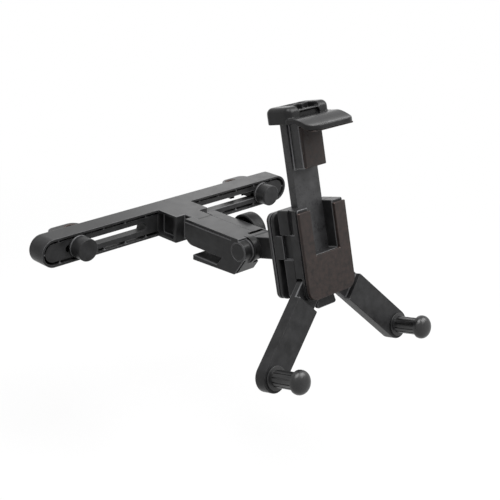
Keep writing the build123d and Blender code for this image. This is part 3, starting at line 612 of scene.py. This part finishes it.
def dip_lip(mesh):
    """Lets the lip of a jaw mesh, which lies in the holder's axes, run level out of the dome before it dips."""
    for vertex in mesh.vertices:
        _, height, depth = vertex.co / MM
        low = height_along(LIP_SOLID_LOWER, depth)
        if depth > LIP_ROOT:
            high = height_along(LIP_SOLID_UPPER, depth)
            share = (height - low - LIP_SKIN) / (high - low - 2 * LIP_SKIN)
            lower = dipped(depth, *LIP_LOWER)
            upper = dipped(depth, *LIP_UPPER)
            vertex.co.y = (lower + (upper - lower) * max(0, min(1, share))) * MM
        elif height < LIP_SOLID_LOWER[0][1]:
            vertex.co.y = (LIP_SOLID_LOWER[0][1] + max(0, height - low)) * MM


def lift_strip(mesh):
    """Lays a strip mesh, which lies in the holder's axes, along the underside of the dipped lip."""
    for vertex in mesh.vertices:
        _, height, depth = vertex.co / MM
        vertex.co.y = (height - LIP_SOLID_LOWER[-1][1] + dipped(depth, *LIP_LOWER)) * MM


def moulded_copy(node, reshape, fine, passes):
    """A reshaped copy of a solid of the jaw with all its edges and hollows softened, standing for the solid."""
    piece = merged_copy(node)
    axes = holder_matrix(0, 0, 0)
    piece.data.transform(axes.inverted())
    bpy.ops.object.modifier_add(type="REMESH")
    cells = piece.modifiers[-1]
    cells.mode = "VOXEL"
    cells.voxel_size = fine
    bpy.ops.object.modifier_apply(modifier=cells.name)
    reshape(piece.data)
    bpy.ops.object.modifier_add(type="SMOOTH")
    softened = piece.modifiers[-1]
    softened.factor = 0.5
    softened.iterations = passes
    bpy.ops.object.modifier_apply(modifier=softened.name)
    piece.data.transform(axes)
    bpy.ops.object.shade_smooth()
    seat(piece, body_of(node), slot_of(node), node)
    return piece


def seat(piece, body, slot, *nodes):
    """Paints a finished piece, lets it ride on its body and hides the solids it stands for."""
    paint(piece, slot)
    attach(piece, body)
    if nodes:
        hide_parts(*nodes)


def turned(name, outline, steps):
    """A piece turned on a lathe about the Z axis, from an outline of radius and height in millimetres."""
    bpy.ops.object.select_all(action="DESELECT")
    bpy.ops.mesh.primitive_plane_add(size=MM)
    piece = bpy.context.object
    piece.name = name
    bpy.ops.object.mode_set(mode="EDIT")
    bpy.ops.mesh.select_mode(type="VERT")
    bpy.ops.mesh.select_all(action="SELECT")
    bpy.ops.mesh.merge(type="CENTER")
    points = [Vector((radius, 0, height)) * MM for radius, height in outline]
    bpy.ops.transform.translate(value=points[0])
    for last, point in zip(points, points[1:]):
        bpy.ops.mesh.extrude_region_move(TRANSFORM_OT_translate={"value": point - last})
    bpy.ops.mesh.select_all(action="SELECT")
    bpy.ops.mesh.spin(steps=steps, angle=2 * pi, center=(0, 0, 0), axis=(0, 0, 1))
    bpy.ops.mesh.select_all(action="SELECT")
    bpy.ops.mesh.remove_doubles(threshold=WELD_GAP)
    bpy.ops.mesh.normals_make_consistent(inside=False)
    bpy.ops.object.mode_set(mode="OBJECT")
    return piece


def flute(piece, count, radius, width, deep):
    """Sinks grooves, evenly spaced round the Z axis, into the upright faces of a turned piece at a radius."""
    bpy.ops.object.mode_set(mode="EDIT")
    bpy.ops.mesh.select_mode(type="FACE")
    bpy.ops.mesh.select_all(action="DESELECT")
    bpy.ops.object.mode_set(mode="OBJECT")
    for face in piece.data.polygons:
        x, y, _ = face.center / MM
        share = atan2(y, x) / (2 * pi) * count % 1.0
        upright = abs(face.normal.z) < UPRIGHT and abs(hypot(x, y) - radius) < NEAR_RADIUS
        face.select = upright and share < width
    bpy.ops.object.mode_set(mode="EDIT")
    bpy.ops.mesh.inset(thickness=GROOVE_SLOPE * deep * MM, depth=-deep * MM)
    bpy.ops.object.mode_set(mode="OBJECT")


def settle(piece, place):
    """Moves a piece's mesh to its place and smooths its round faces."""
    pick(piece)
    piece.matrix_world = place
    bpy.ops.object.transform_apply(location=True, rotation=True, scale=True)
    bpy.ops.object.shade_smooth_by_angle(angle=SHARP_TURNED)


def peg_outline():
    """Outline of a peg: collar, stalk and a full round head."""
    crown = []
    for step in range(1, CROWN_STEPS):
        turn = step / CROWN_STEPS * pi / 2
        rise = (PEG_TOP - PEG_CROWN) * sin(turn) ** CROWN_UP
        crown.append((PEG_HEAD * cos(turn) ** CROWN_OUT, PEG_CROWN + rise))
    return (*PEG_FOOT, (PEG_HEAD, PEG_CROWN), *crown, (0, PEG_TOP))


def head_places(node):
    """Middles of the screw heads of a solid, found on its rearmost rings of points."""
    points = [vertex.co.copy() for vertex in frame["nodes"][node].data.vertices]
    rear = min(point.dot(HOLDER_OUT) for point in points)
    heads = []
    for point in points:
        if point.dot(HOLDER_OUT) > rear + WELD_GAP:
            continue
        near = next((head for head in heads if (head[0] - point).length < 1.1 * SCREW_HEAD), None)
        if near:
            near.append(point)
        else:
            heads.append([point])
    middles = []
    for head in heads:
        low = Vector(min(point[i] for point in head) for i in range(3))
        high = Vector(max(point[i] for point in head) for i in range(3))
        middles.append((low + high) / 2)
    return middles


def cross_recess(piece, node):
    """Sinks a cross into each screw head of a piece that stands for a solid with screws."""
    face = holder_matrix(0, 0, 0).to_3x3().to_4x4()
    for middle in head_places(node):
        for turn in (pi / 4, 3 * pi / 4):
            bpy.ops.object.select_all(action="DESELECT")
            bpy.ops.mesh.primitive_cube_add(size=1)
            blade = bpy.context.object
            lie = face @ Matrix.Rotation(turn, 4, "Z") @ Matrix.Diagonal((*CROSS_BLADE, 1))
            blade.matrix_world = Matrix.Translation(middle) @ lie
            pick(piece)
            bpy.ops.object.modifier_add(type="BOOLEAN")
            cut = piece.modifiers[-1]
            cut.operation = "DIFFERENCE"
            cut.object = blade
            bpy.ops.object.modifier_apply(modifier=cut.name)
            bpy.data.objects.remove(blade)


class MOUNT_OT_crossbar(bpy.types.Operator):
    """Round the edges of the crossbar"""

    bl_idname = "mount.crossbar"
    bl_label = "Crossbar"

    def execute(self, context):
        soft_copy("crossbar", settings()[1].body_edge)
        return {"FINISHED"}


class MOUNT_OT_post_clamps(bpy.types.Operator):
    """Dress the two post clamps and their rubber liners"""

    bl_idname = "mount.post_clamps"
    bl_label = "Post clamps"

    def execute(self, context):
        edges = settings()[1]
        for side in SIDES:
            for piece in ("collar", "jaw"):
                soft_copy(f"{side}_clamp_{piece}", edges.body_edge)
            soft_copy(f"{side}_clamp_knob", edges.pad_edge)
            soft_copy(f"{side}_clamp_liner", edges.body_edge)
            for piece in ("screw", "nut"):
                soft_copy(f"{side}_clamp_{piece}", edges.metal_edge, 2)
        return {"FINISHED"}


class MOUNT_OT_arm(bpy.types.Operator):
    """Dress the arm's halves, its bolt, knob and the tilt knuckle"""

    bl_idname = "mount.arm"
    bl_label = "Arm and knuckle"

    def execute(self, context):
        edges = settings()[1]
        for node in ("arm_left_half", "arm_right_half", "tilt_knuckle"):
            soft_copy(node, edges.body_edge)
        knob = turned("arm_knob_turned", KNOB_OUTLINE, KNOB_STEPS * edges.knob_ribs)
        flute(knob, edges.knob_ribs, KNOB_RADIUS, KNOB_RIB_WIDTH, KNOB_RIB_DEPTH)
        settle(knob, Matrix.Translation(KNOB_AXIS) @ Matrix.Rotation(pi / 2, 4, "Y"))
        seat(knob, "arm_lock", "knob_plastic", "arm_knob")
        for node in ("arm_bolt", "arm_nut", "swivel_washer", "swivel_screw"):
            soft_copy(node, edges.metal_edge, 2)
        return {"FINISHED"}


class MOUNT_OT_holder(bpy.types.Operator):
    """Dress the holder's plates, housings, screws and pins"""

    bl_idname = "mount.holder"
    bl_label = "Holder"

    def execute(self, context):
        edges = settings()[1]
        for node in ("rear_plate", "clip_plate", "rear_housing", "front_housing"):
            soft_copy(node, edges.body_edge)
        for node in ("brake_spring", "leg_pins"):
            soft_copy(node, edges.metal_edge, 2)
        for node in ("plate_screws", "housing_screws"):
            cross_recess(soft_copy(node, edges.metal_edge, 2), node)
        return {"FINISHED"}


class MOUNT_OT_pads(bpy.types.Operator):
    """Make the rubber pads of the face, the block and the lip"""

    bl_idname = "mount.pads"
    bl_label = "Rubber pads"

    def execute(self, context):
        edges = settings()[1]
        pads = [soft_copy(node, edges.pad_edge) for node in ("face_pad", "block_pad")]
        pads.append(moulded_copy("lip_pad", lift_strip, edges.jaw_fine, edges.strip_passes))
        return {"FINISHED"}


class MOUNT_OT_slider(bpy.types.Operator):
    """Dress the slider's rail, its polished top jaw and screws"""

    bl_idname = "mount.slider"
    bl_label = "Slider"

    def execute(self, context):
        edges = settings()[1]
        # The rail gets the paler black of the painted sheen.
        paint(soft_copy("slider_rail", edges.body_edge), "sheen_painted_rail")
        moulded_copy("top_jaw", dip_lip, edges.jaw_fine, edges.jaw_passes)
        cross_recess(soft_copy("jaw_screws", edges.metal_edge, 2), "jaw_screws")
        return {"FINISHED"}


class MOUNT_OT_legs(bpy.types.Operator):
    """Dress the two legs with their pegs and peg screws"""

    bl_idname = "mount.legs"
    bl_label = "Legs and pegs"

    def execute(self, context):
        edges = settings()[1]
        for side in SIDES:
            soft_copy(f"{side}_leg", edges.body_edge)
            peg = turned(f"{side}_peg_turned", peg_outline(), PEG_STEPS * edges.peg_flutes)
            flute(peg, edges.peg_flutes, PEG_STALK, PEG_FLUTE_WIDTH, PEG_FLUTE_DEPTH)
            across, up = LEG_PIVOT[side]
            across += LEG_LENGTH * sin(LEG_ANGLE[side])
            up -= LEG_LENGTH * cos(LEG_ANGLE[side])
            settle(peg, holder_matrix(across, up, PEG_BASE))
            seat(peg, f"{side}_foot", "peg_plastic", f"{side}_peg")
            screw = f"{side}_peg_screw"
            cross_recess(soft_copy(screw, edges.metal_edge, 2), screw)
        return {"FINISHED"}


def camera_matrix(studio):
    """Place and turn of the camera from its heading, dip and roll."""
    turn, dip, roll = studio.camera_heading, studio.camera_dip, studio.camera_roll
    ahead = Vector((sin(turn) * cos(dip), cos(turn) * cos(dip), -sin(dip)))
    flat_right = Vector((cos(turn), -sin(turn), 0))
    flat_up = flat_right.cross(ahead)
    right = flat_right * cos(roll) + flat_up * sin(roll)
    up = flat_up * cos(roll) - flat_right * sin(roll)
    return Matrix.Translation(studio.camera_place) @ Matrix((right, up, -ahead)).transposed().to_4x4()


def softbox(name, place, width, height, power):
    """A rectangular area light that looks at the mount."""
    bpy.ops.object.light_add(type="AREA", location=place)
    lamp = bpy.context.object
    lamp.name = name
    lamp.data.shape = "RECTANGLE"
    lamp.data.size = width
    lamp.data.size_y = height
    lamp.data.energy = power
    lamp.rotation_euler = (LAMP_AIM - Vector(place)).to_track_quat("-Z", "Y").to_euler()


def shown_rays(tree):
    """A mask of the rays that see the backdrop: camera, glossy and transmission rays."""
    path = add_node(tree, "ShaderNodeLightPath")
    first = add_node(tree, "ShaderNodeMath", operation="MAXIMUM")
    second = add_node(tree, "ShaderNodeMath", operation="MAXIMUM")
    tree.links.new(path.outputs["Is Camera Ray"], first.inputs[0])
    tree.links.new(path.outputs["Is Glossy Ray"], first.inputs[1])
    tree.links.new(first.outputs[0], second.inputs[0])
    tree.links.new(path.outputs["Is Transmission Ray"], second.inputs[1])
    return second.outputs[0]


def white_world(sky):
    """A white surround whose light on the object is set apart from what the camera sees."""
    world = bpy.data.worlds.new("white_surround")
    bpy.context.scene.world = world
    world.use_nodes = True
    tree = world.node_tree
    background = tree.nodes["Background"]
    background.inputs["Color"].default_value = toned(WHITE, 1)
    level = add_node(tree, "ShaderNodeMapRange", inputs={"To Min": sky, "To Max": 1.0})
    tree.links.new(shown_rays(tree), level.inputs["Value"])
    tree.links.new(level.outputs["Result"], background.inputs["Strength"])


def white_floor(shade):
    """A white floor that keeps part of its own shading near the object, and so the object's shadow."""
    made = bpy.data.materials.new("white_floor")
    made.use_nodes = True
    tree = made.node_tree
    link = tree.links.new
    shader = tree.nodes["Principled BSDF"]
    shader.inputs["Roughness"].default_value = 0.9
    paper = add_node(tree, "ShaderNodeMix", data_type="RGBA")
    paper.inputs[MIX_FIRST].default_value = toned(WHITE, FLOOR_BOUNCE)
    paper.inputs[MIX_SECOND].default_value = toned(WHITE, FLOOR_SEEN)
    seen = shown_rays(tree)
    plain = add_node(tree, "ShaderNodeEmission", inputs={"Strength": 1.0})
    place = add_node(tree, "ShaderNodeTexCoord")
    away = add_node(tree, "ShaderNodeVectorMath", operation="LENGTH")
    fade = add_node(tree, "ShaderNodeMapRange", interpolation_type="SMOOTHSTEP", inputs={
        "From Min": FLOOR_FADE[0], "From Max": FLOOR_FADE[1], "To Min": 1 - shade, "To Max": 1.0})
    share = add_node(tree, "ShaderNodeMath", operation="MULTIPLY")
    blend = add_node(tree, "ShaderNodeMixShader")
    link(place.outputs["Object"], away.inputs[0])
    link(away.outputs["Value"], fade.inputs["Value"])
    link(fade.outputs["Result"], share.inputs[1])
    link(seen, paper.inputs[MIX_SHARE])
    link(paper.outputs[MIX_RESULT], shader.inputs["Base Color"])
    link(seen, share.inputs[0])
    link(share.outputs[0], blend.inputs[0])
    link(shader.outputs[0], blend.inputs[1])
    link(plain.outputs[0], blend.inputs[2])
    link(blend.outputs[0], tree.nodes["Material Output"].inputs["Surface"])
    return made


class MOUNT_OT_studio(bpy.types.Operator):
    """Set up the floor, the soft lights and the camera"""

    bl_idname = "mount.studio"
    bl_label = "Studio"

    def execute(self, context):
        studio = settings()[2]
        scene = context.scene
        scene.view_settings.view_transform = "Standard"
        bpy.ops.object.select_all(action="DESELECT")
        bpy.ops.mesh.primitive_circle_add(
            vertices=FLOOR_SIDES, radius=FLOOR_RADIUS, fill_type="NGON",
            location=(0, 0, CAD_BOX[0][2] - FLOOR_DROP))
        floor = context.object
        floor.name = "floor"
        floor.data.materials.append(white_floor(studio.floor_shade))
        white_world(studio.sky)
        for name, (place, width, height) in LAMPS.items():
            softbox(name, place, width, height, getattr(studio, name))
        bpy.ops.object.camera_add()
        camera = context.object
        camera.name = "photo_camera"
        camera.matrix_world = camera_matrix(studio)
        camera.data.lens = studio.lens
        camera.data.sensor_width = SENSOR_WIDTH
        scene.camera = camera
        return {"FINISHED"}


OPERATORS = (MOUNT_OT_crossbar, MOUNT_OT_post_clamps, MOUNT_OT_arm, MOUNT_OT_holder, MOUNT_OT_pads,
             MOUNT_OT_slider, MOUNT_OT_legs, MOUNT_OT_studio)


class MOUNT_PT_pieces(bpy.types.Panel):
    """Lists the pieces and the settings of the mount"""

    bl_idname = "MOUNT_PT_pieces"
    bl_label = "Tablet mount"
    bl_space_type = "VIEW_3D"
    bl_region_type = "UI"
    bl_category = "Tablet mount"

    def draw(self, context):
        for group in settings():
            for name in group.__annotations__:
                self.layout.prop(group, name)
        for operator in OPERATORS:
            self.layout.operator(operator.bl_idname)


GROUPS = {"mount_finish": MountFinish, "mount_edges": MountEdges, "mount_studio": MountStudio}
CLASSES = (*GROUPS.values(), *OPERATORS, MOUNT_PT_pieces)


def register():
    """Registers the classes and puts the settings on the scene."""
    for cls in CLASSES:
        bpy.utils.register_class(cls)
    for name, group in GROUPS.items():
        setattr(bpy.types.Scene, name, PointerProperty(type=group))


def unregister():
    """Takes the settings and the classes away again."""
    for name in GROUPS:
        delattr(bpy.types.Scene, name)
    for cls in reversed(CLASSES):
        bpy.utils.unregister_class(cls)


def main():
    """Registers the add-on, then makes every piece and the studio in order."""
    register()
    for operator in OPERATORS:
        group, name = operator.bl_idname.split(".")
        getattr(getattr(bpy.ops, group), name)()


if __name__ == "__main__":
    main()
